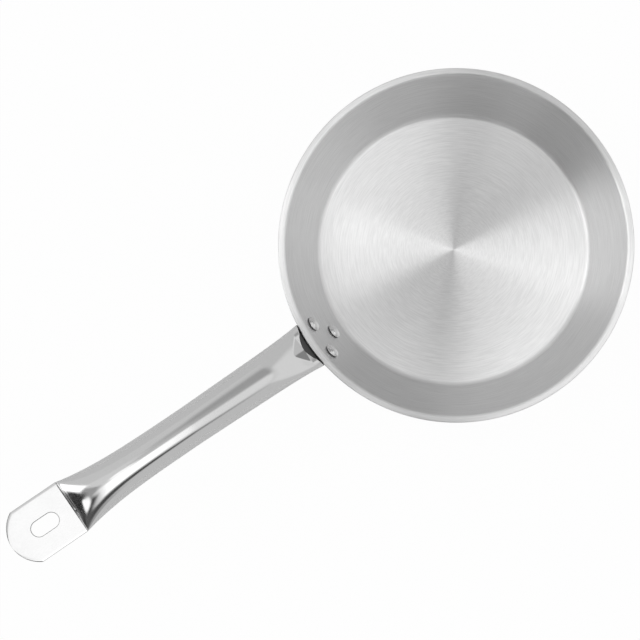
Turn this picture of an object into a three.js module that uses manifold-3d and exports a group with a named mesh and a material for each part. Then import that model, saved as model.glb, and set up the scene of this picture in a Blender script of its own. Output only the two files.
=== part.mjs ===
// Stainless-steel frying pan: spun body, closed-in base, hollow tube handle and three rivets.
// Millimetres, +Z up. The origin is on the resting plane below the pan's axis, and the handle points along +X.

import * as THREE from 'three';
import { mergeVertices } from 'three/addons/utils/BufferGeometryUtils.js';
import Module from 'manifold-3d';

const wasm = await Module();
wasm.setup();

// Driving dimensions of the pan
const rimDiameter = 240;
const panHeight = 50;
const lipWidth = 4.6;
const lipBend = 2.5;
const wallLean = THREE.MathUtils.degToRad(26);
const floorFillet = 4.5;
const bodySheet = 1.2;

// Driving dimensions of the base
const baseInset = 2.5;
const coreThickness = 5;
const capSheet = 0.8;
const capCorner = 2;
const coreClearance = 0.2;

// Driving dimensions of the handle
const tubeDiameter = 25;
const tubeSheet = 1.2;
const waistWidth = 27;
const waistFromRim = 93;
const rootWidth = 33;
const rootHeight = 9.4;
const rootUnderLip = 1.6;
const creaseFromRim = 186.4;
const tabSide = 33.9;
const tipBulge = 11.3;
const tipFlat = 0.5;
const rootRise = THREE.MathUtils.degToRad(16);
const tabRise = THREE.MathUtils.degToRad(10);
const slotLength = 19.7;
const slotWidth = 10.4;
const slotFromTip = 15.4;
const dimpleDepth = 4.5;
const dimpleLength = 8.5;
const dimpleWidth = 12;
const dimpleSoftness = 0.3;
const crescentDepth = 3.9;
const rimClearance = 0.6;
const rootTuck = 2;
const rootCurb = 0.6;
const rootBlend = 34;
const bowlLength = 30;
const creaseBlend = 1;

// Driving dimensions of the rivet plate and the rivets
const plateBend = 2.5;
const plateMargin = 7;
const lowerLobe = 8;
const lobeFlat = 0.3;
const plateRootInset = 2.5;
const plateOverlap = 3;
const seatClearance = 0.3;
const rivetSpread = 23;
const upperRivetDrop = 9.8;
const rivetRowDrop = 18.4;
const rivetHead = 10;
const rivetDome = 2.6;
const rivetHeadEdge = 1.2;
const rivetShank = 5;
const rivetTail = 8;
const rivetTailHeight = 1.8;
const rivetTailChamfer = 0.9;
const rivetHoleClearance = 0.15;

// How the handle's outline flares and its section fills out
const rootFlareShare = 0.45;
const rootFlarePower = 8;
const tabFlarePower = 3.7;
const rootFullnessAbove = 0.8;
const rootFullnessBelow = 2;
const tabFlatness = 12;

// How finely round shapes are cut
const panSegments = 72;
const rivetSegments = 20;
const sectionPoints = 32;
const plateRows = 30;
const plateColumns = 9;
const arcSteps = 3;

// Sizes that follow from the driving dimensions
const rimRadius = rimDiameter / 2;
const floorUnder = capSheet + coreThickness;
const floorTop = floorUnder + bodySheet;
const wallSlope = Math.tan(wallLean);
const wallTopRadius = rimRadius - lipWidth;
const wallRadius = (z) => wallTopRadius - (panHeight - z) * wallSlope;
const filletTangent = floorFillet * Math.tan((Math.PI / 2 - wallLean) / 2);
const floorRadius = wallRadius(floorTop) - filletTangent;
const coreRadius = floorRadius - baseInset;
const upperRivetHeight = panHeight - upperRivetDrop;
const lowerRivetHeight = upperRivetHeight - rivetRowDrop;
const rootBottom = panHeight - bodySheet - rootUnderLip - tubeSheet;
const rootX = rimRadius - rootTuck;
const waistX = rimRadius + waistFromRim;
const creaseX = rimRadius + creaseFromRim;
const tipX = creaseX + tabSide + tipBulge;
const girth = Math.PI * (tubeDiameter - tubeSheet);
const tabWidth = girth / 2 + tubeSheet;
const tipRadius = ((tabWidth / 2) ** 2 + tipBulge ** 2) / (2 * tipBulge);
const plateOffset = (bodySheet + seatClearance + tubeSheet / 2) / Math.cos(wallLean);

const steps = (from, to, count) => Array.from({ length: count }, (_, i) => from + ((to - from) * i) / (count - 1));

// Turns a three.js geometry into a closed solid whose faces point outward
function solidOf(geometry) {
  const bare = new THREE.BufferGeometry();
  bare.setAttribute('position', geometry.getAttribute('position').clone());
  bare.setIndex(geometry.index);
  const merged = mergeVertices(bare, 1e-4);
  const place = merged.getAttribute('position');
  const corner = merged.index.array;
  const kept = [];
  const [a, b, c] = [new THREE.Vector3(), new THREE.Vector3(), new THREE.Vector3()];
  let volume = 0;
  for (let i = 0; i < corner.length; i += 3) {
    const [p, q, r] = [corner[i], corner[i + 1], corner[i + 2]];
    if (p === q || q === r || r === p) continue;
    kept.push([p, q, r]);
    a.fromBufferAttribute(place, p);
    b.fromBufferAttribute(place, q);
    c.fromBufferAttribute(place, r);
    volume += a.dot(b.cross(c));
  }
  const facing = volume < 0 ? kept.map(([p, q, r]) => [p, r, q]) : kept;
  const mesh = new wasm.Mesh({
    numProp: 3,
    vertProperties: Float32Array.from(place.array),
    triVerts: Uint32Array.from(facing.flat()),
  });
  return new wasm.Manifold(mesh);
}

// Revolves an outline of radius and height about the Z axis
function revolve(path, segments) {
  const geometry = new THREE.LatheGeometry(path.getPoints(arcSteps), segments);
  geometry.rotateX(Math.PI / 2);
  return solidOf(geometry);
}

// Closes rings of equal point count into one solid, with each end capped across from side to side
function loft(rings) {
  const count = rings[0].length;
  const corners = [];
  const at = (ring, i) => ring * count + (i % count);
  for (let k = 0; k + 1 < rings.length; k += 1) {
    for (let i = 0; i < count; i += 1) {
      corners.push(at(k, i), at(k, i + 1), at(k + 1, i + 1), at(k, i), at(k + 1, i + 1), at(k + 1, i));
    }
  }
  const last = rings.length - 1;
  for (let i = 0; i < count / 2; i += 1) {
    const [near, far] = [count - i, count - i - 1];
    corners.push(at(0, i + 1), at(0, i), at(0, near), at(0, i + 1), at(0, near), at(0, far));
    corners.push(at(last, i), at(last, i + 1), at(last, near), at(last, i + 1), at(last, far), at(last, near));
  }
  const geometry = new THREE.BufferGeometry();
  geometry.setAttribute('position', new THREE.Float32BufferAttribute(rings.flat(2), 3));
  geometry.setIndex(corners);
  return solidOf(geometry);
}

// Extrudes a plan outline straight up from one height to another
function prism(shape, from, to) {
  const geometry = new THREE.ExtrudeGeometry(shape, { depth: to - from, bevelEnabled: false, curveSegments: 8 });
  geometry.translate(0, 0, from);
  return solidOf(geometry);
}

function meshOf(name, solid, material) {
  const { numProp, vertProperties, triVerts } = solid.getMesh();
  const place = [];
  for (let i = 0; i < vertProperties.length; i += numProp) {
    place.push(vertProperties[i], vertProperties[i + 1], vertProperties[i + 2]);
  }
  const geometry = new THREE.BufferGeometry();
  geometry.setAttribute('position', new THREE.Float32BufferAttribute(place, 3));
  geometry.setIndex(Array.from(triVerts));
  geometry.computeVertexNormals();
  const mesh = new THREE.Mesh(geometry, material);
  mesh.name = name;
  return mesh;
}

// Pan body: along the cooking face from the axis to the edge, round the edge, and back along the outer face
function panBody() {
  const filletZ = floorTop + floorFillet;
  const bendZ = panHeight - lipBend;
  const bendR = wallRadius(bendZ) + lipBend / Math.cos(wallLean);
  const edge = bodySheet / 2;
  const outline = new THREE.Path();
  outline.moveTo(0, floorTop);
  outline.lineTo(floorRadius, floorTop);
  outline.absarc(floorRadius, filletZ, floorFillet, -Math.PI / 2, -wallLean, false);
  outline.absarc(bendR, bendZ, lipBend, Math.PI - wallLean, Math.PI / 2, true);
  outline.absarc(rimRadius - edge, panHeight - edge, edge, Math.PI / 2, -Math.PI / 2, true);
  outline.absarc(bendR, bendZ, lipBend - bodySheet, Math.PI / 2, Math.PI - wallLean, false);
  outline.absarc(floorRadius, filletZ, floorFillet + bodySheet, -wallLean, -Math.PI / 2, true);
  outline.lineTo(0, floorUnder);
  return revolve(outline, panSegments);
}

function baseCore() {
  const outline = new THREE.Path();
  outline.moveTo(0, capSheet);
  outline.lineTo(coreRadius, capSheet);
  outline.lineTo(coreRadius, floorUnder);
  outline.lineTo(0, floorUnder);
  return revolve(outline, panSegments);
}

// Base cap: a shallow cup whose edge meets the underside of the pan floor round the core
function baseCap() {
  const inner = coreRadius + coreClearance;
  const outer = inner + capSheet;
  const outline = new THREE.Path();
  outline.moveTo(0, 0);
  outline.lineTo(outer - capCorner, 0);
  outline.absarc(outer - capCorner, capCorner, capCorner, -Math.PI / 2, 0, false);
  outline.lineTo(outer, floorUnder);
  outline.lineTo(inner, floorUnder);
  outline.lineTo(inner, capSheet);
  outline.lineTo(0, capSheet);
  return revolve(outline, panSegments);
}

// Half height of the tube's middle line where it has been squeezed to a given half width, with its girth kept
function squeezedHalfHeight(halfWidth) {
  let [low, high] = [0, girth / Math.PI];
  for (let i = 0; i < 40; i += 1) {
    const b = (low + high) / 2;
    const h = ((halfWidth - b) / (halfWidth + b)) ** 2;
    const length = Math.PI * (halfWidth + b) * (1 + (3 * h) / (10 + Math.sqrt(4 - 3 * h)));
    if (length > girth) high = b;
    else low = b;
  }
  return (low + high) / 2;
}

// Width of the handle seen from above: a waist that flares toward the pan and toward the hang tab
function handleWidth(x) {
  if (x < waistX) {
    const back = Math.min((waistX - x) / (waistX - rimRadius), 1);
    const flare = THREE.MathUtils.lerp(back, back ** rootFlarePower, rootFlareShare);
    return waistWidth + (rootWidth - waistWidth) * flare;
  }
  const along = Math.min((x - waistX) / (creaseX - waistX), 1);
  return waistWidth + (tabWidth - waistWidth) * along ** tabFlarePower;
}

// Height of the handle's middle: leaves the root at one angle and reaches the tab at a flatter one
function handleMiddle(x) {
  const run = x - rimRadius;
  const bend = (Math.tan(rootRise) - Math.tan(tabRise)) / (2 * creaseFromRim);
  return rootBottom + rootHeight / 2 + Math.tan(rootRise) * run - bend * run * Math.max(run, 0);
}

// Edge of the handle's top sheet, which stands clear of the rim and is hollowed in the middle
function crescentX(y) {
  const half = rootWidth / 2;
  const hollow = Math.abs(y) < half ? Math.cos((Math.PI * y) / (2 * half)) ** 2 : 0;
  return Math.sqrt((rimRadius + rimClearance) ** 2 - y * y) + crescentDepth * hollow;
}

// One closed section of the handle at x, taken in by inset from the outer face
function handleSection(x, inset) {
  const width = handleWidth(x);
  const lineHeight = squeezedHalfHeight((width - tubeSheet) / 2);
  const squeezed = Math.max(lineHeight, tubeSheet / 2) + tubeSheet / 2;
  const nearRoot = 1 - THREE.MathUtils.smoothstep(x, rimRadius, rimRadius + rootBlend);
  const halfHeight = THREE.MathUtils.lerp(squeezed, rootHeight / 2, nearRoot) - inset;
  const tipReach = Math.max(x - (tipX - tipRadius), 0);
  const tipHalf = Math.sqrt(Math.max(tipRadius ** 2 - tipReach ** 2, tipFlat ** 2));
  const halfWidth = Math.min(width / 2, tipHalf) - inset;
  const flat = THREE.MathUtils.smoothstep(x, creaseX - creaseBlend, creaseX);
  const fullness = THREE.MathUtils.lerp(2, tabFlatness, flat);
  const middle = handleMiddle(x);
  return steps(0, 2 * Math.PI, sectionPoints + 1).slice(0, -1).map((turn) => {
    const [c, s] = [Math.cos(turn), Math.sin(turn)];
    const power = 2 / (fullness + nearRoot * (s < 0 ? rootFullnessBelow : rootFullnessAbove));
    const y = halfWidth * Math.sign(c) * Math.abs(c) ** power;
    const rise = halfHeight * Math.sign(s) * Math.abs(s) ** power;
    const fade = 1 - Math.max(x - crescentX(0), 0) / dimpleLength;
    const fold = s > 0 ? Math.max(fade - Math.abs(y) / dimpleWidth, 0) : 0;
    const valley = (fold * fold) / (fold + dimpleSoftness);
    return [x, y, middle + rise - dimpleDepth * valley];
  });
}

function handleStations(toX) {
  const cornerAngle = Math.acos(tabWidth / 2 / tipRadius);
  const dimpleEnd = crescentX(0) + dimpleLength;
  const root = steps(rootX, dimpleEnd, 9);
  const grip = steps(dimpleEnd, creaseX - bowlLength, 12).slice(1);
  const bowl = steps(0.9, 0, 9).map((part) => creaseX - bowlLength * part ** 1.5);
  const tab = steps(creaseX, creaseX + tabSide, 5).slice(1, -1);
  const tip = steps(cornerAngle, Math.PI / 2, 8).map((turn) => tipX - tipRadius + tipRadius * Math.sin(turn));
  return [...root, ...grip, ...bowl, ...tab, ...tip].filter((x) => x <= toX);
}

// Middle line of the sheet that leaves the tube's underside, bends down and lies along the wall
function platePath() {
  const rootZ = rootBottom + tubeSheet / 2;
  const cornerR = wallRadius(rootZ) + plateOffset;
  const turn = Math.PI / 2 - wallLean;
  const tangent = plateBend * Math.tan(turn / 2);
  const bendStart = cornerR + tangent;
  const endZ = lowerRivetHeight - lowerLobe * Math.cos(wallLean);
  const path = new THREE.Path();
  path.moveTo(rimRadius + plateOverlap, rootZ);
  path.lineTo(bendStart, rootZ);
  path.absarc(bendStart, rootZ - plateBend, plateBend, Math.PI / 2, Math.PI - wallLean, false);
  path.lineTo(wallRadius(endZ) + plateOffset, endZ);
  return { path, bendEndZ: rootZ - plateBend * (1 - Math.sin(wallLean)) };
}

// Half width of the rivet plate at a height: narrow root, broad at the upper rivets, a round lobe at the lower one
function plateHalfWidth(z) {
  const broad = rivetSpread / 2 + plateMargin;
  if (z > upperRivetHeight) {
    const climb = THREE.MathUtils.smoothstep(z, upperRivetHeight, rootBottom);
    return THREE.MathUtils.lerp(broad, rootWidth / 2 - plateRootInset, climb);
  }
  const fall = (upperRivetHeight - z) / (upperRivetHeight - lowerRivetHeight);
  if (fall < 1) return THREE.MathUtils.lerp(broad, lowerLobe, fall);
  const below = (lowerRivetHeight - z) / Math.cos(wallLean);
  return Math.sqrt(Math.max(lowerLobe ** 2 - below ** 2, lobeFlat ** 2));
}

function rivetPlate() {
  const { path, bendEndZ } = platePath();
  const across = steps(-1, 1, plateColumns);
  const rings = path.getSpacedPoints(plateRows).map((point, i, all) => {
    const before = all[Math.max(i - 1, 0)];
    const after = all[Math.min(i + 1, all.length - 1)];
    const along = after.clone().sub(before).normalize();
    const normal = new THREE.Vector2(along.y, -along.x).multiplyScalar(tubeSheet / 2);
    const wrap = 1 - THREE.MathUtils.smoothstep(point.y, bendEndZ, rootBottom + tubeSheet / 2);
    const half = plateHalfWidth(point.y);
    const face = (side) => across.map((part) => {
      const y = part * half;
      const r = point.x + side * normal.x;
      return [r - wrap * (r - Math.sqrt(r * r - y * y)), y, point.y + side * normal.y];
    });
    return [...face(1), ...face(-1).reverse()];
  });
  return loft(rings);
}

// The three rivet places: angle round the pan axis and height on the wall
const spreadAngle = Math.asin(rivetSpread / 2 / wallRadius(upperRivetHeight));
const rivets = [
  { name: 'rivet_upper_left', angle: spreadAngle, height: upperRivetHeight },
  { name: 'rivet_upper_right', angle: -spreadAngle, height: upperRivetHeight },
  { name: 'rivet_lower', angle: 0, height: lowerRivetHeight },
];

// Moves a solid made along Z, with its zero on the cooking face, to a rivet's place on the wall
function onWall(solid, { angle, height }) {
  const lean = THREE.MathUtils.radToDeg(wallLean);
  const turned = solid.rotate([0, lean - 90, 0]);
  return turned.translate([wallRadius(height), 0, height]).rotate([0, 0, THREE.MathUtils.radToDeg(angle)]);
}

function rivet() {
  const seat = seatClearance;
  const stack = bodySheet + seatClearance + tubeSheet;
  const domeSide = rivetDome - rivetHeadEdge;
  const domeRadius = ((rivetHead / 2) ** 2 + domeSide ** 2) / (2 * domeSide);
  const domeAngle = Math.asin(rivetHead / 2 / domeRadius);
  const tailTop = -stack - seatClearance;
  const outline = new THREE.Path();
  outline.moveTo(0, tailTop - rivetTailHeight);
  outline.lineTo(rivetTail / 2 - rivetTailChamfer, tailTop - rivetTailHeight);
  outline.lineTo(rivetTail / 2, tailTop - rivetTailHeight + rivetTailChamfer);
  outline.lineTo(rivetTail / 2, tailTop);
  outline.lineTo(rivetShank / 2, tailTop);
  outline.lineTo(rivetShank / 2, seat);
  outline.lineTo(rivetHead / 2, seat);
  const domeBase = seat + rivetDome - domeRadius;
  outline.absarc(0, domeBase, domeRadius, Math.PI / 2 - domeAngle, Math.PI / 2, false);
  return revolve(outline, rivetSegments);
}

function rivetHole() {
  const reach = 3 * (bodySheet + seatClearance + tubeSheet);
  const outline = new THREE.Path();
  outline.moveTo(0, -reach);
  outline.lineTo(rivetShank / 2 + rivetHoleClearance, -reach);
  outline.lineTo(rivetShank / 2 + rivetHoleClearance, reach);
  outline.lineTo(0, reach);
  return revolve(outline, rivetSegments);
}

function hangSlot() {
  const end = slotWidth / 2;
  const far = tipX - slotFromTip - end;
  const near = tipX - slotFromTip - slotLength + end;
  const shape = new THREE.Shape();
  shape.absarc(far, 0, end, -Math.PI / 2, Math.PI / 2, false);
  shape.absarc(near, 0, end, Math.PI / 2, (3 * Math.PI) / 2, false);
  const middle = handleMiddle(far);
  const reach = 10 * tubeSheet;
  return prism(shape, middle - reach, middle + reach);
}

// Everything of the tube that would stand over the lip, leaving the sheet below it to run on to the wall
function rootCut() {
  const inside = rootX - rootHeight;
  const side = rootWidth;
  const shape = new THREE.Shape();
  shape.moveTo(inside, -side);
  steps(-side, side, 41).forEach((y) => shape.lineTo(crescentX(y), y));
  shape.lineTo(inside, side);
  const from = rootBottom + tubeSheet + rootCurb;
  return prism(shape, from, from + 6 * rootHeight);
}

function handle() {
  const outer = loft(handleStations(tipX).map((x) => handleSection(x, 0)));
  const hollowEnd = creaseX - creaseBlend;
  const cavity = handleStations(hollowEnd).map((x) => handleSection(x, tubeSheet));
  const mouth = cavity[0].map(([x, y, z]) => [x - 4, y, z]);
  const hollow = loft([mouth, ...cavity]);
  let solid = outer.subtract(hollow).subtract(rootCut()).add(rivetPlate()).subtract(hangSlot());
  for (const place of rivets) solid = solid.subtract(onWall(rivetHole(), place));
  return solid;
}

function drilledBody() {
  return rivets.reduce((solid, place) => solid.subtract(onWall(rivetHole(), place)), panBody());
}

// Materials, then the assembled pan
const brushedSteel = new THREE.MeshStandardMaterial({ color: 0xc9c9c6, metalness: 1, roughness: 0.42 });
const polishedSteel = new THREE.MeshStandardMaterial({ color: 0xd6d6d4, metalness: 1, roughness: 0.16 });
const capSteel = new THREE.MeshStandardMaterial({ color: 0xbfbfbd, metalness: 1, roughness: 0.36 });
const aluminium = new THREE.MeshStandardMaterial({ color: 0xd0d2d3, metalness: 1, roughness: 0.5 });

const group = new THREE.Group();
group.name = 'frying_pan';
group.add(meshOf('pan_body', drilledBody(), brushedSteel));
group.add(meshOf('base_core', baseCore(), aluminium));
group.add(meshOf('base_cap', baseCap(), capSteel));
group.add(meshOf('handle', handle(), polishedSteel));
for (const place of rivets) group.add(meshOf(place.name, onWall(rivet(), place), polishedSteel));

export default group;
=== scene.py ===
"""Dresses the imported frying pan: spun bowl and base, polished hollow handle, domed rivets, white studio.

Lengths are in metres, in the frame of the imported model: +Z up, handle along +X, origin under the bowl.
"""
import math

import bmesh
import bpy
from mathutils import Matrix, Vector


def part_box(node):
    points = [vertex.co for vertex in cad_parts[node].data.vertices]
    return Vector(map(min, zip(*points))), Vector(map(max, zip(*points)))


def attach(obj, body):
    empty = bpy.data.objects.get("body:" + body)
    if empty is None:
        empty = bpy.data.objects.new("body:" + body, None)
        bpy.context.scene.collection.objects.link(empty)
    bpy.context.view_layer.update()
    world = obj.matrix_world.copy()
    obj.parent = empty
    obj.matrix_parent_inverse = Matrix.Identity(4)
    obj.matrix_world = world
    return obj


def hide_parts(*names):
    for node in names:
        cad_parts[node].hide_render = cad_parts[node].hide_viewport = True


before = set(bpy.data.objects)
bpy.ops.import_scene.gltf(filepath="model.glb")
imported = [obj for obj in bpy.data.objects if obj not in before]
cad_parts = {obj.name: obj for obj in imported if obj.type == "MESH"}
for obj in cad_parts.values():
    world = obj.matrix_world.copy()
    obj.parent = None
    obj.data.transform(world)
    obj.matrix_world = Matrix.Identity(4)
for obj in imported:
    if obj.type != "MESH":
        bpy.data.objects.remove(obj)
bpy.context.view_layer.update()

MM = 0.001

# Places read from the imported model
body_low, body_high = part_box("pan_body")
handle_low, handle_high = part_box("handle")
rim_radius = body_high.x
rim_height = body_high.z
floor_under = body_low.z
cap_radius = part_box("base_cap")[1].x
tip_x = handle_high.x
tab_width = handle_high.y - handle_low.y

# Sizes of the bowl's sheet, as in the solids
LIP_WIDTH = 4.6 * MM
LIP_BEND = 2.5 * MM
WALL_LEAN = math.radians(26)
FLOOR_FILLET = 4.5 * MM
SHEET = 1.2 * MM

# Sizes of the base cap, as in the solids, and the rise of its inner corner
CAP_CORNER = 2 * MM
CAP_SHEET = 0.8 * MM
CAP_INNER_RISE = 1 * MM

# Sizes of the handle's root and grip, as in the solids
TUBE_DIAMETER = 25 * MM
WAIST_WIDTH = 27 * MM
WAIST_FROM_RIM = 93 * MM
ROOT_WIDTH = 33 * MM
ROOT_HEIGHT = 9.4 * MM
ROOT_RISE = math.radians(16)
ROOT_UNDER_LIP = 1.6 * MM
ROOT_TUCK = 2 * MM
ROOT_BLEND = 34 * MM
ROOT_FLARE_SHARE = 0.45
ROOT_FLARE_POWER = 8
ROOT_FULLNESS_ABOVE = 0.8
ROOT_FULLNESS_BELOW = 2
DIMPLE_DEPTH = 4.5 * MM
DIMPLE_LENGTH = 8.5 * MM
DIMPLE_WIDTH = 12 * MM
DIMPLE_SOFTNESS = 0.3
CRESCENT_DEPTH = 3.9 * MM
RIM_CLEARANCE = 0.6 * MM

# Sizes of the handle's tab, as in the solids
CREASE_FROM_RIM = 186.4 * MM
CREASE_BLEND = 1 * MM
TAB_RISE = math.radians(10)
TAB_FLARE_POWER = 3.7
TAB_FLATNESS = 12
TIP_BULGE = 11.3 * MM
TIP_FLAT = 0.5 * MM
SLOT_LENGTH = 19.7 * MM
SLOT_WIDTH = 10.4 * MM
SLOT_FROM_TIP = 15.4 * MM

# How far before the crease the tube's hollow ends, and how fast its root tucks under the lip round the tube
HOLLOW_END = 1.5 * MM
TUCK_RATE = 2.5

# Ridge that the press left before the crease
RIDGE_HEIGHT = 0.45 * MM
RIDGE_BEFORE_CREASE = 1.2 * MM
RIDGE_BREADTH = 0.6 * MM
RIDGE_FADE_START = 2 * MM
RIDGE_FADE_END = 6 * MM

# How far the slot opens from the middle of the sheet to its faces, and how much of the tip's side is a cut
# edge with painted shade
SLOT_FLARE = 0.4 * MM
TIP_EDGE_SHARE = 0.6

# Sizes of the rivet plate and the rivets, as in the solids
PLATE_BEND = 2.5 * MM
PLATE_MARGIN = 7 * MM
PLATE_ROOT_INSET = 2.5 * MM
LOWER_LOBE = 8 * MM
LOBE_FLAT = 0.3 * MM
SEAT_CLEARANCE = 0.3 * MM
RIVET_SPREAD = 23 * MM
UPPER_RIVET_DROP = 9.8 * MM
RIVET_ROW_DROP = 18.4 * MM
RIVET_HEAD = 10 * MM
RIVET_DOME = 2.6 * MM
RIVET_HEAD_EDGE = 1.2 * MM
RIVET_SHANK = 5 * MM
RIVET_TAIL = 8 * MM
RIVET_TAIL_HEIGHT = 1.8 * MM
RIVET_TAIL_ROUND = 0.9 * MM

# Cut under the edge of a rivet's head, whose faces carry painted shade, so that it shows as a dark seam
RIVET_UNDERCUT = 0.8 * MM

# How finely the round pieces are cut
BOWL_SEGMENTS = 256
RIVET_SEGMENTS = 64
ARC_STEPS = 14
FLOOR_STEPS = 24
UNDER_STEPS = 12
WALL_STEPS = 12
CAP_STEPS = 16
DOME_STEPS = 24
TAIL_STEPS = 8
SLOT_STEPS = 32

# How finely the handle is cut: points round it, rows along it, and where the closer rows lie
SECTION_POINTS = 128
ROOT_ROWS = 40
ROOT_ROWS_REACH = 18 * MM
GRIP_ROWS = 70
END_ROWS = 64
END_ROWS_REACH = 22 * MM
END_ROWS_POWER = 1.5
TAB_ROWS = 14
TAB_ROWS_INSET = 0.5 * MM
TIP_ROWS = 24
PLATE_TOP_ROWS = 4
PLATE_BEND_ROWS = 12
PLATE_ROWS = 24

# Edges are drawn sharp from these angles up, in degrees
SHARP_ANGLE = 35
HANDLE_SHARP_ANGLE = 30

# Exponent of a plain ellipse, rounds of halving in a search, and radius that counts as on the axis
ELLIPSE = 2
SEARCH_ROUNDS = 40
ON_AXIS = 1e-7

# Camera, fitted to the photograph's frame of 640 by 640
CAMERA_PLACE = Vector((90.1, 57.5, 1250)) * MM
CAMERA_TARGET = Vector((104.17, -10.3, 50)) * MM
CAMERA_UP = Vector((-0.5693, -0.8212, 0.0397))
CAMERA_LENS = 100.05
CAMERA_SENSOR = 36
CAMERA_NEAR = 10 * MM

# White table, a hair under the base, and how near it a ray has to start to pass through it
TABLE_HALF = 3
TABLE_GAP = 0.1 * MM
TABLE_CONTACT = 3 * MM
TABLE_GREY = 0.9
TABLE_GLOW = 0.97

# Soft-edged black card past the tip, with a hole, which the handle's end mirrors
CARD_MIDDLE = Vector((455, -24, 300)) * MM
CARD_HALF = Vector((98, 66, 0)) * MM
CARD_HOLE_MIDDLE = Vector((383, 25, 300)) * MM
CARD_HOLE_HALF = Vector((22, 27, 0)) * MM
CARD_EDGE = 0.25
CARD_GREY = 0.07

# Brightness of the bare tent, and the least height of a direction, below which it counts as level
TENT_LEVEL = 0.68
LEAST_HEIGHT = 0.02

WHITE = (1, 1, 1, 1)
SQUARE = [(-1, -1), (1, -1), (1, 1), (-1, 1)]

# Sizes that follow
floor_top = floor_under + SHEET
wall_slope = math.tan(WALL_LEAN)
crease_x = rim_radius + CREASE_FROM_RIM
waist_x = rim_radius + WAIST_FROM_RIM
root_x = rim_radius - ROOT_TUCK
root_rows_end = rim_radius + ROOT_ROWS_REACH
root_bottom = rim_height - SHEET - ROOT_UNDER_LIP - SHEET
girth = math.pi * (TUBE_DIAMETER - SHEET)
tip_radius = ((tab_width / 2) ** 2 + TIP_BULGE**2) / (2 * TIP_BULGE)
upper_rivet_z = rim_height - UPPER_RIVET_DROP
lower_rivet_z = upper_rivet_z - RIVET_ROW_DROP
plate_turn = math.pi / 2 - WALL_LEAN


def wall_radius(z):
    """Radius of the cooking face of the straight wall at a height."""
    return rim_radius - LIP_WIDTH - (rim_height - z) * wall_slope


floor_radius = wall_radius(floor_top) - FLOOR_FILLET * math.tan(plate_turn / 2)

# Angles round the handle's section, and those that carry on as the rivet plate
section_turns = [2 * math.pi * i / SECTION_POINTS for i in range(SECTION_POINTS)]
plate_side = SECTION_POINTS // 12
plate_turns = range(SECTION_POINTS // 2 + plate_side, SECTION_POINTS - plate_side + 1)


def lerp(a, b, part):
    return a + (b - a) * part


def smoothstep(x, low, high):
    part = min(max((x - low) / (high - low), 0), 1)
    return part * part * (3 - 2 * part)


def steps(low, high, count):
    return [lerp(low, high, i / (count - 1)) for i in range(count)]


def arc(x, z, radius, start, end, count=ARC_STEPS):
    return [(x + radius * math.cos(t), z + radius * math.sin(t)) for t in steps(start, end, count)]


# Meshes


def strip(first, second):
    """Faces between two rows of points. Where points meet, the face is a triangle."""
    faces = []
    for corners in zip(first, first[1:], second[1:], second):
        face = list(dict.fromkeys(corners))
        if len(face) > 2:
            faces.append(face)
    return faces


def bands(rings):
    """Faces between closed rings of points, one after another."""
    faces = []
    for low, high in zip(rings, rings[1:]):
        faces += strip(low + low[:1], high + high[:1])
    return faces


def revolved(outline, segments):
    """Points and faces of an outline of radius and height turned about Z. Ends on the axis close in fans."""
    turns = [2 * math.pi * i / segments for i in range(segments)]
    points = []
    rings = []
    for r, z in outline:
        if r < ON_AXIS:
            rings.append([len(points)] * segments)
            points.append(Vector((0, 0, z)))
            continue
        rings.append(list(range(len(points), len(points) + segments)))
        points.extend(Vector((r * math.cos(t), r * math.sin(t), z)) for t in turns)
    return points, bands(rings)


def new_object(name, points, faces):
    mesh = bpy.data.meshes.new(name)
    mesh.from_pydata([tuple(p) for p in points], [], faces)
    item = bpy.data.objects.new(name, mesh)
    bpy.context.scene.collection.objects.link(item)
    return item


def point_faces_out(mesh):
    """Turns the faces of a closed mesh so that they all point out."""
    solid = bmesh.new()
    solid.from_mesh(mesh)
    bmesh.ops.recalc_face_normals(solid, faces=solid.faces)
    solid.to_mesh(mesh)
    solid.free()


def make_piece(name, shape, material, node, sharp_angle=SHARP_ANGLE, other_finishes=()):
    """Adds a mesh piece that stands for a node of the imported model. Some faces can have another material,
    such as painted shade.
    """
    piece = new_object(name, *shape)
    mesh = piece.data
    mesh.validate()
    point_faces_out(mesh)
    mesh.polygons.foreach_set("use_smooth", [True] * len(mesh.polygons))
    mesh.set_sharp_from_angle(angle=math.radians(sharp_angle))
    mesh.materials.append(material)
    for finish, finish_faces in other_finishes:
        mesh.materials.append(finish)
        for index in finish_faces:
            mesh.polygons[index].material_index = len(mesh.materials) - 1
    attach(piece, "root")
    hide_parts(node)
    return piece


# Materials


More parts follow.
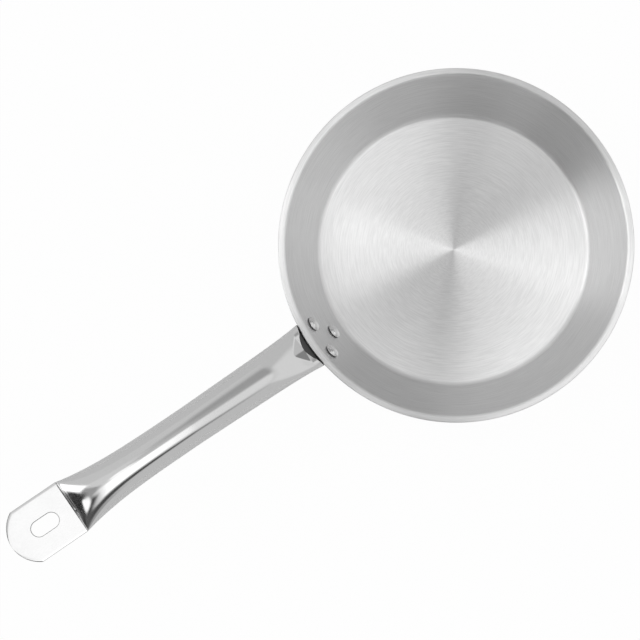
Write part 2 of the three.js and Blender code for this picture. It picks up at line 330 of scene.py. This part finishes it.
class Nodes:
    """Short way to write a node tree: each call adds a node and returns its output."""

    def __init__(self, owner):
        owner.use_nodes = True
        self.tree = owner.node_tree
        self.tree.nodes.clear()

    def add(self, kind, inputs=None, output=0, **settings):
        node = self.tree.nodes.new(kind)
        for key, value in settings.items():
            setattr(node, key, value)
        for key, value in (inputs or {}).items():
            if isinstance(value, bpy.types.NodeSocket):
                self.tree.links.new(value, node.inputs[key])
            else:
                node.inputs[key].default_value = value
        return node.outputs[output]

    def math(self, operation, a, b=0.0):
        return self.add("ShaderNodeMath", {0: a, 1: b}, operation=operation)

    def vector(self, operation, a, b=(0, 0, 0)):
        output = "Value" if operation in ("LENGTH", "DOT_PRODUCT") else "Vector"
        return self.add("ShaderNodeVectorMath", {0: a, 1: b}, output, operation=operation)

    def scale(self, vector, factor):
        return self.add("ShaderNodeVectorMath", {0: vector, "Scale": factor}, operation="SCALE")

    def join(self, x, y, z=0.0):
        return self.add("ShaderNodeCombineXYZ", {"X": x, "Y": y, "Z": z})

    def split(self, vector):
        node = self.tree.nodes.new("ShaderNodeSeparateXYZ")
        self.tree.links.new(vector, node.inputs[0])
        return node.outputs

    def ramp(self, value, low, high, start=0.0, end=1.0):
        inputs = {"Value": value, "From Min": low, "From Max": high, "To Min": start, "To Max": end}
        return self.add("ShaderNodeMapRange", inputs, interpolation_type="SMOOTHSTEP")

    def noise(self, vector, scale, detail, roughness):
        inputs = {"Vector": vector, "Scale": scale, "Detail": detail, "Roughness": roughness}
        return self.add("ShaderNodeTexNoise", inputs)

    def bump(self, height, strength, distance):
        return self.add("ShaderNodeBump", {"Height": height, "Strength": strength, "Distance": distance})

    def mix(self, share, first, second):
        return self.add("ShaderNodeMixShader", {0: share, 1: first, 2: second})

    def show(self, shader, kind="ShaderNodeOutputMaterial"):
        output = self.tree.nodes.new(kind)
        self.tree.links.new(shader, output.inputs["Surface"])

    def show_metal(self, inputs):
        self.show(self.add("ShaderNodeBsdfPrincipled", {"Metallic": 1.0, **inputs}))


def grey(level):
    return (level, level, level)


def spun_steel(name, colour, roughness, anisotropic, groove):
    """Steel brushed in rings about the Z axis, a little smoother toward the rim."""
    material = bpy.data.materials.new(name)
    nodes = Nodes(material)
    x, y, z = nodes.split(nodes.add("ShaderNodeTexCoord", output="Object"))
    radius = nodes.vector("LENGTH", nodes.join(x, y))
    turn = nodes.math("ARCTAN2", y, x)
    ring = nodes.math("ADD", radius, z)

    def rings(scale, sweep, detail):
        """Noise drawn out round the axis: fine across the rings, slow along them."""
        place = nodes.join(
            nodes.math("MULTIPLY", ring, scale),
            nodes.math("MULTIPLY", nodes.math("COSINE", turn), sweep),
            nodes.math("MULTIPLY", nodes.math("SINE", turn), sweep),
        )
        return nodes.noise(place, 1.0, detail, 0.65)

    # Fine grooves for the bump, and broader rings for the shade
    fine = rings(5000.0, 3.0, 2.0)
    broad = rings(1300.0, 5.0, 4.0)
    nodes.show_metal({
        "Base Color": nodes.scale(colour, nodes.ramp(broad, 0.3, 0.7, 0.93, 1.06)),
        "Roughness": nodes.ramp(radius, 0.02, 0.09, roughness + 0.02, roughness - 0.04),
        "Anisotropic": anisotropic,
        "Anisotropic Rotation": 0.25,
        "Tangent": nodes.add("ShaderNodeTangent", direction_type="RADIAL", axis="Z"),
        "Normal": nodes.bump(fine, groove, 0.04 * MM),
    })
    return material


def buffed_metal(name, colour, roughness):
    """Metal buffed along X, with faint polishing lines."""
    material = bpy.data.materials.new(name)
    nodes = Nodes(material)
    place = nodes.add("ShaderNodeTexCoord", output="Object")
    stretch = nodes.add("ShaderNodeMapping", {"Vector": place, "Scale": (60.0, 2600.0, 2600.0)})
    lines = nodes.noise(stretch, 1.0, 3.0, 0.6)
    cloud = nodes.noise(place, 90.0, 3.0, 0.6)
    nodes.show_metal({
        "Base Color": nodes.scale(colour, nodes.ramp(lines, 0.25, 0.75, 0.97, 1.02)),
        "Roughness": nodes.ramp(cloud, 0.3, 0.7, roughness - 0.02, roughness + 0.02),
        "Normal": nodes.bump(lines, 0.06, 0.02 * MM),
    })
    return material


body_steel = spun_steel("body_steel", grey(0.78), roughness=0.35, anisotropic=1.0, groove=0.1)
cap_steel = spun_steel("cap_steel", (0.62, 0.615, 0.605), roughness=0.42, anisotropic=0.7, groove=0.3)
handle_steel = buffed_metal("handle_steel", grey(0.7), roughness=0.09)
rivet_steel = buffed_metal("rivet_steel", grey(0.9), roughness=0.08)
# Near-black steel: painted shade inside the tube's hollow and in the seams under the rivet heads
painted_shade_steel = buffed_metal("painted_shade_steel", grey(0.085), roughness=0.35)
# Darker steel for the slot's walls and the tip's cut edge: rough like a cut face, and darker as painted
# shade for their outlines
cut_painted_shade_steel = buffed_metal("cut_painted_shade_steel", grey(0.33), roughness=0.5)
core_metal = buffed_metal("core_aluminium", (0.78, 0.78, 0.79), roughness=0.5)


# Bowl and base


def bowl_outline():
    """Radius and height along the cooking face, round the lip and back along the outer face."""
    fillet_z = floor_top + FLOOR_FILLET
    wall_low = fillet_z - FLOOR_FILLET * math.sin(WALL_LEAN)
    bend_z = rim_height - LIP_BEND
    bend_r = wall_radius(bend_z) + LIP_BEND / math.cos(WALL_LEAN)
    edge = SHEET / 2
    up, down = math.pi / 2, -math.pi / 2
    return [
        *[(r, floor_top) for r in steps(0, floor_radius, FLOOR_STEPS)[:-1]],
        *arc(floor_radius, fillet_z, FLOOR_FILLET, down, -WALL_LEAN),
        *[(wall_radius(z), z) for z in steps(wall_low, bend_z, WALL_STEPS)[1:-1]],
        *arc(bend_r, bend_z, LIP_BEND, math.pi - WALL_LEAN, up),
        *arc(rim_radius - edge, rim_height - edge, edge, up, down),
        *arc(bend_r, bend_z, LIP_BEND - SHEET, up, math.pi - WALL_LEAN),
        *arc(floor_radius, fillet_z, FLOOR_FILLET + SHEET, -WALL_LEAN, down),
        *[(r, floor_under) for r in steps(floor_radius, 0, UNDER_STEPS)[1:]],
    ]


def cap_outline():
    """Radius and height along the inside of the cap, over its edge and back along the underside."""
    inner = cap_radius - CAP_SHEET
    flat = cap_radius - CAP_CORNER
    return [
        (0, CAP_SHEET),
        (inner - CAP_SHEET, CAP_SHEET),
        (inner, CAP_SHEET + CAP_INNER_RISE),
        (inner, floor_under),
        (cap_radius, floor_under),
        *arc(flat, CAP_CORNER, CAP_CORNER, 0, -math.pi / 2),
        *[(r, 0) for r in steps(flat, 0, CAP_STEPS)[1:]],
    ]


make_piece("bowl", revolved(bowl_outline(), BOWL_SEGMENTS), body_steel, "pan_body")
make_piece("base_cup", revolved(cap_outline(), BOWL_SEGMENTS), cap_steel, "base_cap")

core_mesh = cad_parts["base_core"].data
core_mesh.materials.clear()
core_mesh.materials.append(core_metal)


# Handle: one sheet from the rivet plate, through the tube, to the flattened hang tab


def squeezed_half_height(half_width):
    """Half height of the tube's middle line when it is squeezed to a half width, with its girth kept."""
    low, high = 0, girth / math.pi
    for _ in range(SEARCH_ROUNDS):
        half_height = (low + high) / 2
        total = half_width + half_height
        uneven = ((half_width - half_height) / total) ** 2
        length = math.pi * total * (1 + 3 * uneven / (10 + math.sqrt(4 - 3 * uneven)))
        if length > girth:
            high = half_height
        else:
            low = half_height
    return (low + high) / 2


def press_ridge(x, y):
    """Height of the ridge along the crease, which runs out before the far side."""
    across = (crease_x - x - RIDGE_BEFORE_CREASE) / RIDGE_BREADTH
    share = 1 - smoothstep(y, RIDGE_FADE_START, RIDGE_FADE_END)
    return RIDGE_HEIGHT * math.exp(-across * across) * share


def handle_width(x):
    if x < waist_x:
        back = min((waist_x - x) / (waist_x - rim_radius), 1)
        flare = lerp(back, back**ROOT_FLARE_POWER, ROOT_FLARE_SHARE)
        return lerp(WAIST_WIDTH, ROOT_WIDTH, flare)
    along = min((x - waist_x) / (crease_x - waist_x), 1)
    return lerp(WAIST_WIDTH, tab_width, along**TAB_FLARE_POWER)


def handle_middle(x):
    """Height of the handle's middle line, which rises from the root and levels off toward the tab."""
    run = x - rim_radius
    bend = (math.tan(ROOT_RISE) - math.tan(TAB_RISE)) / (2 * CREASE_FROM_RIM)
    return root_bottom + ROOT_HEIGHT / 2 + math.tan(ROOT_RISE) * run - bend * run * max(run, 0)


def crescent_x(y):
    """Where the top sheet ends over the lip."""
    half = ROOT_WIDTH / 2
    hollow = math.cos(math.pi * y / (2 * half)) ** 2 if abs(y) < half else 0
    return math.sqrt((rim_radius + RIM_CLEARANCE) ** 2 - y * y) + CRESCENT_DEPTH * hollow


def section_point(x, turn, inset):
    """A point of the handle's section at x, taken in by inset from the outer face."""
    width = handle_width(x)
    squeezed = max(squeezed_half_height((width - SHEET) / 2), SHEET / 2) + SHEET / 2
    near_root = 1 - smoothstep(x, rim_radius, rim_radius + ROOT_BLEND)
    half_height = lerp(squeezed, ROOT_HEIGHT / 2, near_root) - inset
    tip_reach = max(x - (tip_x - tip_radius), 0)
    tip_half = math.sqrt(max(tip_radius**2 - tip_reach**2, TIP_FLAT**2))
    half_width = min(width / 2, tip_half) - inset
    c, s = math.cos(turn), math.sin(turn)
    fullness = lerp(ELLIPSE, TAB_FLATNESS, smoothstep(x, crease_x - CREASE_BLEND, crease_x))
    root_fullness = ROOT_FULLNESS_BELOW if s < 0 else ROOT_FULLNESS_ABOVE
    power = 2 / (fullness + near_root * root_fullness)
    y = half_width * math.copysign(abs(c) ** power, c)
    rise = half_height * math.copysign(abs(s) ** power, s)
    fade = 1 - max(x - crescent_x(0), 0) / DIMPLE_LENGTH
    fold = max(fade - abs(y) / DIMPLE_WIDTH, 0) if s > 0 else 0
    valley = fold * fold / (fold + DIMPLE_SOFTNESS)
    ridge = press_ridge(x, y) * max(s, 0) if inset == 0 else 0
    return Vector((x, y, handle_middle(x) + rise - DIMPLE_DEPTH * valley + ridge))


def row_x(x, turn):
    """Shifts the first rows so that the top sheet starts on the crescent and the rest under the lip."""
    crescent = crescent_x(section_point(rim_radius, turn, 0).y)
    start = lerp(crescent, root_x, min(max(-math.sin(turn), 0) * TUCK_RATE, 1))
    return x + (start - root_x) * (1 - smoothstep(x, root_x, root_rows_end))


def tube_rows():
    """Places along the tube where its section is drawn, closer together near the root and the crease."""
    root = steps(root_x, root_rows_end, ROOT_ROWS)
    grip = steps(root_rows_end, crease_x - END_ROWS_REACH, GRIP_ROWS)[1:]
    end = [crease_x - END_ROWS_REACH * part**END_ROWS_POWER for part in steps(1, 0, END_ROWS)[1:]]
    return root + grip + end


def tip_rows():
    corner = math.acos(min(tab_width / 2 / tip_radius, 1))
    return [tip_x - tip_radius + tip_radius * math.sin(t) for t in steps(corner, math.pi / 2, TIP_ROWS)]


def tube_rings(points, rows, inset):
    """Adds a ring of points round the handle at each row and returns the rings."""
    rings = []
    for x in rows:
        rings.append(list(range(len(points), len(points) + SECTION_POINTS)))
        points.extend(section_point(row_x(x, turn), turn, inset) for turn in section_turns)
    return rings


def end_cap(ring):
    """Faces that close a ring, from its upper half to its lower half."""
    half = len(ring) // 2
    return strip(ring[:half + 1], [ring[-i] for i in range(half + 1)])


def plate_half_width(z):
    broad = RIVET_SPREAD / 2 + PLATE_MARGIN
    if z > upper_rivet_z:
        return lerp(broad, ROOT_WIDTH / 2 - PLATE_ROOT_INSET, smoothstep(z, upper_rivet_z, root_bottom))
    fall = (upper_rivet_z - z) / RIVET_ROW_DROP
    if fall < 1:
        return lerp(broad, LOWER_LOBE, fall)
    below = (lower_rivet_z - z) / math.cos(WALL_LEAN)
    return math.sqrt(max(LOWER_LOBE**2 - below**2, LOBE_FLAT**2))


def plate_path():
    """Middle line of the sheet from the tube's underside, round the bend and down the wall.

    Each place is x, z and the turn of the sheet from level.
    """
    root_z = root_bottom + SHEET / 2
    offset = (SHEET + SEAT_CLEARANCE + SHEET / 2) / math.cos(WALL_LEAN)
    bend_start = wall_radius(root_z) + offset + PLATE_BEND * math.tan(plate_turn / 2)
    path = [(x, root_z, 0) for x in steps(root_x, bend_start, PLATE_TOP_ROWS)[1:-1]]
    for angle in steps(0, plate_turn, PLATE_BEND_ROWS):
        x = bend_start - PLATE_BEND * math.sin(angle)
        path.append((x, root_z - PLATE_BEND * (1 - math.cos(angle)), angle))
    wall_top = path[-1][1]
    down_wall = steps(wall_top, lower_rivet_z, PLATE_ROWS)[1:]
    for angle in steps(0, math.pi / 2, PLATE_BEND_ROWS)[1:]:
        down_wall.append(lower_rivet_z - LOWER_LOBE * math.sin(angle) * math.cos(WALL_LEAN))
    path.extend((wall_radius(z) + offset, z, plate_turn) for z in down_wall)
    return path


def plate_rows(points, tube_row, shares, side):
    """Adds one face of the rivet plate, row by row from the tube. Side is -1 outside and 1 inside."""
    level = root_bottom + (SHEET if side > 0 else 0)
    lifts = [points[i].z - level for i in tube_row]
    rows = [tube_row]
    for x, z, turn in plate_path():
        wrap = smoothstep(turn, 0, plate_turn)
        r = x - side * math.sin(turn) * SHEET / 2
        rows.append(list(range(len(points), len(points) + len(tube_row))))
        for share, lift in zip(shares, lifts):
            y = share * plate_half_width(z)
            rise = side * math.cos(turn) * SHEET / 2 + lift * (1 - wrap)
            points.append(Vector((r - wrap * (r - math.sqrt(r * r - y * y)), y, z + rise)))
    return rows


def plate_faces(points, outer_ring, inner_ring):
    """Adds the rivet plate, which carries on from the tube's lower sheet, and returns its faces."""
    outer_row = [outer_ring[i] for i in plate_turns]
    inner_row = [inner_ring[i] for i in plate_turns]
    span = abs(points[outer_row[0]].y)
    shares = [points[i].y / span for i in outer_row]
    outside = plate_rows(points, outer_row, shares, -1)
    inside = plate_rows(points, inner_row, shares, 1)
    return bands([a + b[::-1] for a, b in zip(outside, inside)]) + strip(outside[-1], inside[-1])


def crescent_faces(outer_ring, inner_ring):
    """Faces of the top sheet's edge, from one side of the rivet plate over to the other."""
    over = range(plate_turns[-1], SECTION_POINTS + plate_turns[0] + 1)
    outer_edge = [outer_ring[i % SECTION_POINTS] for i in over]
    inner_edge = [inner_ring[i % SECTION_POINTS] for i in over]
    return strip(outer_edge, inner_edge)


def handle_mesh():
    """Points and faces of the handle, and the faces inside the tube and on the tip's edge."""
    points = []
    tube = tube_rows()
    tab = steps(crease_x + TAB_ROWS_INSET, tip_x - TIP_BULGE - TAB_ROWS_INSET, TAB_ROWS)
    outer = tube_rings(points, tube + tab + tip_rows(), 0)
    inner = tube_rings(points, [x for x in tube if x < crease_x - HOLLOW_END], SHEET)
    outer_faces = bands(outer) + end_cap(outer[-1])
    inner_faces = bands(inner) + end_cap(inner[-1])
    root_faces = crescent_faces(outer[0], inner[0]) + plate_faces(points, outer[0], inner[0])
    inside = range(len(outer_faces), len(outer_faces) + len(inner_faces))
    side_turns = [i for i, turn in enumerate(section_turns) if abs(math.sin(turn)) < TIP_EDGE_SHARE]
    tip = range(len(tube) + len(tab), len(outer) - 1)
    tip_edge = [row * SECTION_POINTS + i for row in tip for i in side_turns]
    return (points, outer_faces + inner_faces + root_faces), inside, tip_edge


def slot_cutter():
    """Solid that cuts the hang slot, narrowest in the middle of the sheet."""
    end = SLOT_WIDTH / 2
    far = tip_x - SLOT_FROM_TIP - end
    near = tip_x - SLOT_FROM_TIP - SLOT_LENGTH + end
    middle_x = (far + near) / 2
    run = (far - near) / 2
    lean = math.atan((handle_middle(far) - handle_middle(near)) / (far - near))
    stand = Matrix.Translation((middle_x, 0, handle_middle(middle_x))) @ Matrix.Rotation(-lean, 4, "Y")
    points = []
    rings = []
    for z, flare in ((-2 * SHEET, 2 * SLOT_FLARE), (0, 0), (2 * SHEET, 2 * SLOT_FLARE)):
        outline = arc(run, 0, end + flare, -math.pi / 2, math.pi / 2, SLOT_STEPS)
        outline += arc(-run, 0, end + flare, math.pi / 2, 3 * math.pi / 2, SLOT_STEPS)
        rings.append(list(range(len(points), len(points) + len(outline))))
        points.extend(stand @ Vector((x, y, z)) for x, y in outline)
    cutter = new_object("slot_cutter", points, [rings[0][::-1], rings[-1], *bands(rings)])
    # The slot's walls take the darker cut steel, whose colour is painted shade
    cutter.data.materials.append(cut_painted_shade_steel)
    return cutter


def cut_slot(piece):
    """Cuts the hang slot into the handle's mesh."""
    cutter = slot_cutter()
    cut = piece.modifiers.new("hang slot", "BOOLEAN")
    cut.operation = "DIFFERENCE"
    cut.solver = "EXACT"
    cut.material_mode = "TRANSFER"
    cut.object = cutter
    graph = bpy.context.evaluated_depsgraph_get()
    mesh = bpy.data.meshes.new_from_object(piece.evaluated_get(graph))
    mesh.set_sharp_from_angle(angle=math.radians(HANDLE_SHARP_ANGLE))
    piece.modifiers.clear()
    piece.data = mesh
    bpy.data.objects.remove(cutter)


# Faces inside the tube take painted shade, and the tip's cut edge takes the darker cut steel with painted
# shade
handle_shape, tube_inside, tip_edge = handle_mesh()
handle_finishes = [(painted_shade_steel, tube_inside), (cut_painted_shade_steel, tip_edge)]
handle_piece = make_piece(
    "tube_handle", handle_shape, handle_steel, "handle", HANDLE_SHARP_ANGLE, handle_finishes
)
cut_slot(handle_piece)


# Rivets: dome on the cooking face, shank through both sheets, formed tail on the plate


def rivet_outline():
    """Radius and height of a rivet from tail to dome, and which point is the edge of its head."""
    side = RIVET_DOME - RIVET_HEAD_EDGE
    dome_radius = ((RIVET_HEAD / 2) ** 2 + side**2) / (2 * side)
    dome_angle = math.asin(RIVET_HEAD / 2 / dome_radius)
    dome_z = SEAT_CLEARANCE + RIVET_DOME - dome_radius
    tail_top = -2 * (SHEET + SEAT_CLEARANCE)
    tail_low = tail_top - RIVET_TAIL_HEIGHT
    tail_middle = RIVET_TAIL / 2 - RIVET_TAIL_ROUND
    below_edge = [
        (0, tail_low),
        *arc(tail_middle, tail_low + RIVET_TAIL_ROUND, RIVET_TAIL_ROUND, -math.pi / 2, 0, TAIL_STEPS),
        (RIVET_TAIL / 2, tail_top),
        (RIVET_SHANK / 2, tail_top),
        (RIVET_SHANK / 2, SEAT_CLEARANCE),
        (RIVET_HEAD / 2 - RIVET_UNDERCUT, SEAT_CLEARANCE),
    ]
    edge_and_dome = [
        (RIVET_HEAD / 2, SEAT_CLEARANCE + RIVET_UNDERCUT),
        *arc(0, dome_z, dome_radius, math.pi / 2 - dome_angle, math.pi / 2, DOME_STEPS),
    ]
    return below_edge + edge_and_dome, len(below_edge)


def add_rivet(node):
    low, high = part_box(node)
    centre = (low + high) / 2
    z = lower_rivet_z if abs(centre.y) < RIVET_HEAD / 2 else upper_rivet_z
    stand = Matrix.Rotation(math.atan2(centre.y, centre.x), 4, "Z")
    stand = stand @ Matrix.Translation((wall_radius(z), 0, z))
    stand = stand @ Matrix.Rotation(WALL_LEAN - math.pi / 2, 4, "Y")
    outline, edge = rivet_outline()
    points, faces = revolved(outline, RIVET_SEGMENTS)
    shape = [stand @ p for p in points], faces
    # The faces under the head's edge take painted shade
    seam = range((edge - 2) * RIVET_SEGMENTS, edge * RIVET_SEGMENTS)
    finishes = [(painted_shade_steel, seam)]
    make_piece(node + "_dome", shape, rivet_steel, node, SHARP_ANGLE, finishes)


for rivet_node in ("rivet_upper_left", "rivet_upper_right", "rivet_lower"):
    add_rivet(rivet_node)


# Studio: white table, black card and a tent of soft light, which the metal mirrors


def add_table():
    """Table that is white from above, and see-through from below and to rays that start at the base."""
    corners = [(x * TABLE_HALF, y * TABLE_HALF, -TABLE_GAP) for x, y in SQUARE]
    table = new_object("table", corners, [[0, 1, 2, 3]])
    material = bpy.data.materials.new("white_table")
    nodes = Nodes(material)
    matt = nodes.add("ShaderNodeBsdfDiffuse", {"Color": (*grey(TABLE_GREY), 1)})
    glow = nodes.add("ShaderNodeEmission", {"Color": WHITE, "Strength": 1.0})
    clear = nodes.add("ShaderNodeBsdfTransparent")
    from_camera = nodes.add("ShaderNodeLightPath", output="Is Camera Ray")
    top = nodes.mix(nodes.math("MULTIPLY", from_camera, TABLE_GLOW), matt, glow)
    from_below = nodes.add("ShaderNodeNewGeometry", output="Backfacing")
    ray_length = nodes.add("ShaderNodeLightPath", output="Ray Length")
    from_base = nodes.math("LESS_THAN", ray_length, TABLE_CONTACT)
    nodes.show(nodes.mix(nodes.math("MAXIMUM", from_below, from_base), top, clear))
    table.data.materials.append(material)


def add_card():
    """Black card that only the metal's mirror images show."""
    reach = CARD_HALF * (1 + CARD_EDGE)
    corners = [CARD_MIDDLE + Vector((x * reach.x, y * reach.y, 0)) for x, y in SQUARE]
    card = new_object("black_card", corners, [[0, 1, 2, 3]])
    card.visible_camera = False
    card.visible_diffuse = False
    card.visible_shadow = False
    material = bpy.data.materials.new("black_card")
    nodes = Nodes(material)
    place = nodes.add("ShaderNodeTexCoord", output="Object")

    def inside_ellipse(middle, half):
        """Goes softly from 1 inside an ellipse on the card to 0 outside."""
        from_middle = nodes.vector("SUBTRACT", place, middle)
        shares = nodes.vector("MULTIPLY", from_middle, (1 / half.x, 1 / half.y, 0))
        return nodes.ramp(nodes.vector("LENGTH", shares), 1 + CARD_EDGE, 1 - CARD_EDGE)

    card_share = inside_ellipse(CARD_MIDDLE, CARD_HALF)
    past_hole = nodes.math("SUBTRACT", 1.0, inside_ellipse(CARD_HOLE_MIDDLE, CARD_HOLE_HALF))
    black = nodes.add("ShaderNodeBsdfDiffuse", {"Color": (*grey(CARD_GREY), 1)})
    clear = nodes.add("ShaderNodeBsdfTransparent")
    nodes.show(nodes.mix(nodes.math("MULTIPLY", card_share, past_hole), clear, black))
    card.data.materials.append(material)


class Tent(Nodes):
    """Light of the world as a brightness for each direction. Each field is painted over those before it.

    A lean is the tangent of a direction's angle from straight up. Headings and turns are in degrees.
    """

    def __init__(self, owner):
        super().__init__(owner)
        self.level = TENT_LEVEL
        x, y, z = self.split(self.add("ShaderNodeTexCoord", output="Generated"))
        height = self.math("MAXIMUM", z, LEAST_HEIGHT)
        flat = self.join(x, y)
        self.heading = self.vector("NORMALIZE", flat)
        self.lean = self.math("DIVIDE", self.vector("LENGTH", flat), height)
        self.leans = self.scale(flat, self.math("DIVIDE", 1.0, height))

    def paint(self, mask, goal):
        inputs = {"Factor": mask, "A": self.level, "B": goal}
        self.level = self.add("ShaderNodeMix", inputs, data_type="FLOAT")

    def sector(self, heading, half_angle, low, high, goal, soft=0.06, soft_angle=7):
        """Field within a half angle of a heading and between two leans."""
        axis = (math.cos(math.radians(heading)), math.sin(math.radians(heading)), 0)
        facing = self.vector("DOT_PRODUCT", self.heading, axis)
        wide = math.cos(math.radians(half_angle + soft_angle))
        tight = math.cos(math.radians(half_angle - soft_angle))
        below = self.ramp(self.lean, high + soft, high - soft)
        mask = self.math("MULTIPLY", below, self.ramp(facing, wide, tight))
        if low > 0:
            mask = self.math("MULTIPLY", mask, self.ramp(self.lean, low - soft, low + soft))
        self.paint(mask, goal)

    def patch(self, x, y, half_x, half_y, turn, goal, soft=0.3):
        """Field in a turned ellipse, given in leans along X and Y."""
        c, s = math.cos(math.radians(turn)), math.sin(math.radians(turn))
        from_middle = self.vector("SUBTRACT", self.leans, (x, y, 0))
        along = self.vector("DOT_PRODUCT", from_middle, (c / half_x, s / half_x, 0))
        across = self.vector("DOT_PRODUCT", from_middle, (-s / half_y, c / half_y, 0))
        far = self.vector("LENGTH", self.join(along, across))
        self.paint(self.ramp(far, 1 + soft, 1 - soft), goal)

    def window(self, left, right, low, high, goal, soft_x, soft_y):
        """Field in a rectangle, given in leans along X and Y."""
        half_x, half_y = (right - left) / 2, (high - low) / 2
        middle = (left + half_x, low + half_y, 0)
        x, y, _ = self.split(self.vector("ABSOLUTE", self.vector("SUBTRACT", self.leans, middle)))
        across = self.ramp(x, half_x + soft_x, half_x - soft_x)
        along = self.ramp(y, half_y + soft_y, half_y - soft_y)
        self.paint(self.math("MULTIPLY", across, along), goal)


def add_tent():
    """World that lights the pan as a tent with bright and dark fields. The camera sees it as white."""
    world = bpy.data.worlds.new("tent")
    bpy.context.scene.world = world
    tent = Tent(world)

    # Pale sides, which the handle's root and grip mirror
    tent.sector(160, 32, 0.95, 2.2, 0.88, soft=0.15)
    tent.sector(140, 40, 0, 0.9, 0.92, soft=0.15)
    tent.sector(270, 32, 0.4, 1.4, 0.74)
    tent.sector(285, 60, 0, 0.45, 0.84)

    # Long soft box that brightens two fans of the floor, with a grey field above it
    tent.sector(340, 36, 0.08, 0.44, 0.42)
    tent.sector(327, 32, 0.44, 1.1, 2.4)

    # Window that the grip's white band mirrors, and the patch that the tab mirrors
    tent.window(-0.36, 0.06, 0.02, 0.56, 1.65, soft_x=0.12, soft_y=0.07)
    tent.patch(-0.125, -0.05, 0.085, 0.09, 0, 1.4)

    # Grey field that the grip's darker band mirrors
    tent.sector(203, 26, 0.42, 0.86, 0.44, soft=0.16, soft_angle=13)

    # Dark fields that the handle's end and the floor's dark fans mirror
    tent.sector(75, 18, 0.95, 1.7, 0.4)
    tent.sector(22, 34, 0.52, 1.6, 0.2, soft_angle=12)
    tent.sector(36, 24, 0.24, 1.5, 0.06, soft_angle=12)

    # Bright and dark patches that the handle's end mirrors, and the dark line along the grip
    tent.patch(0.4, 0.14, 0.14, 0.2, 0, 1.5)
    tent.patch(0.35, 0.58, 0.4, 0.12, -39, 0.12)
    tent.patch(-0.08, 0.85, 0.42, 0.2, -6, 0.08, soft=0.5)

    # Dark fields near the table
    tent.sector(3, 18, 2.0, 40.0, 0.25)
    tent.sector(208, 18, 2.2, 40.0, 0.3, soft=0.3)

    from_camera = tent.add("ShaderNodeLightPath", output="Is Camera Ray")
    light = tent.add("ShaderNodeBackground", {"Color": WHITE, "Strength": tent.level})
    white = tent.add("ShaderNodeBackground", {"Color": WHITE, "Strength": 1.0})
    tent.show(tent.mix(from_camera, light, white), "ShaderNodeOutputWorld")


def add_camera():
    data = bpy.data.cameras.new("camera")
    data.sensor_width = CAMERA_SENSOR
    data.lens = CAMERA_LENS
    data.clip_start = CAMERA_NEAR
    eye = bpy.data.objects.new("camera", data)
    back = (CAMERA_PLACE - CAMERA_TARGET).normalized()
    across = CAMERA_UP.cross(back).normalized()
    upward = back.cross(across)
    turn = Matrix((across, upward, back)).transposed().to_4x4()
    eye.matrix_world = Matrix.Translation(CAMERA_PLACE) @ turn
    bpy.context.scene.collection.objects.link(eye)
    bpy.context.scene.camera = eye


add_table()
add_card()
add_tent()
add_camera()
bpy.context.scene.view_settings.view_transform = "Standard"
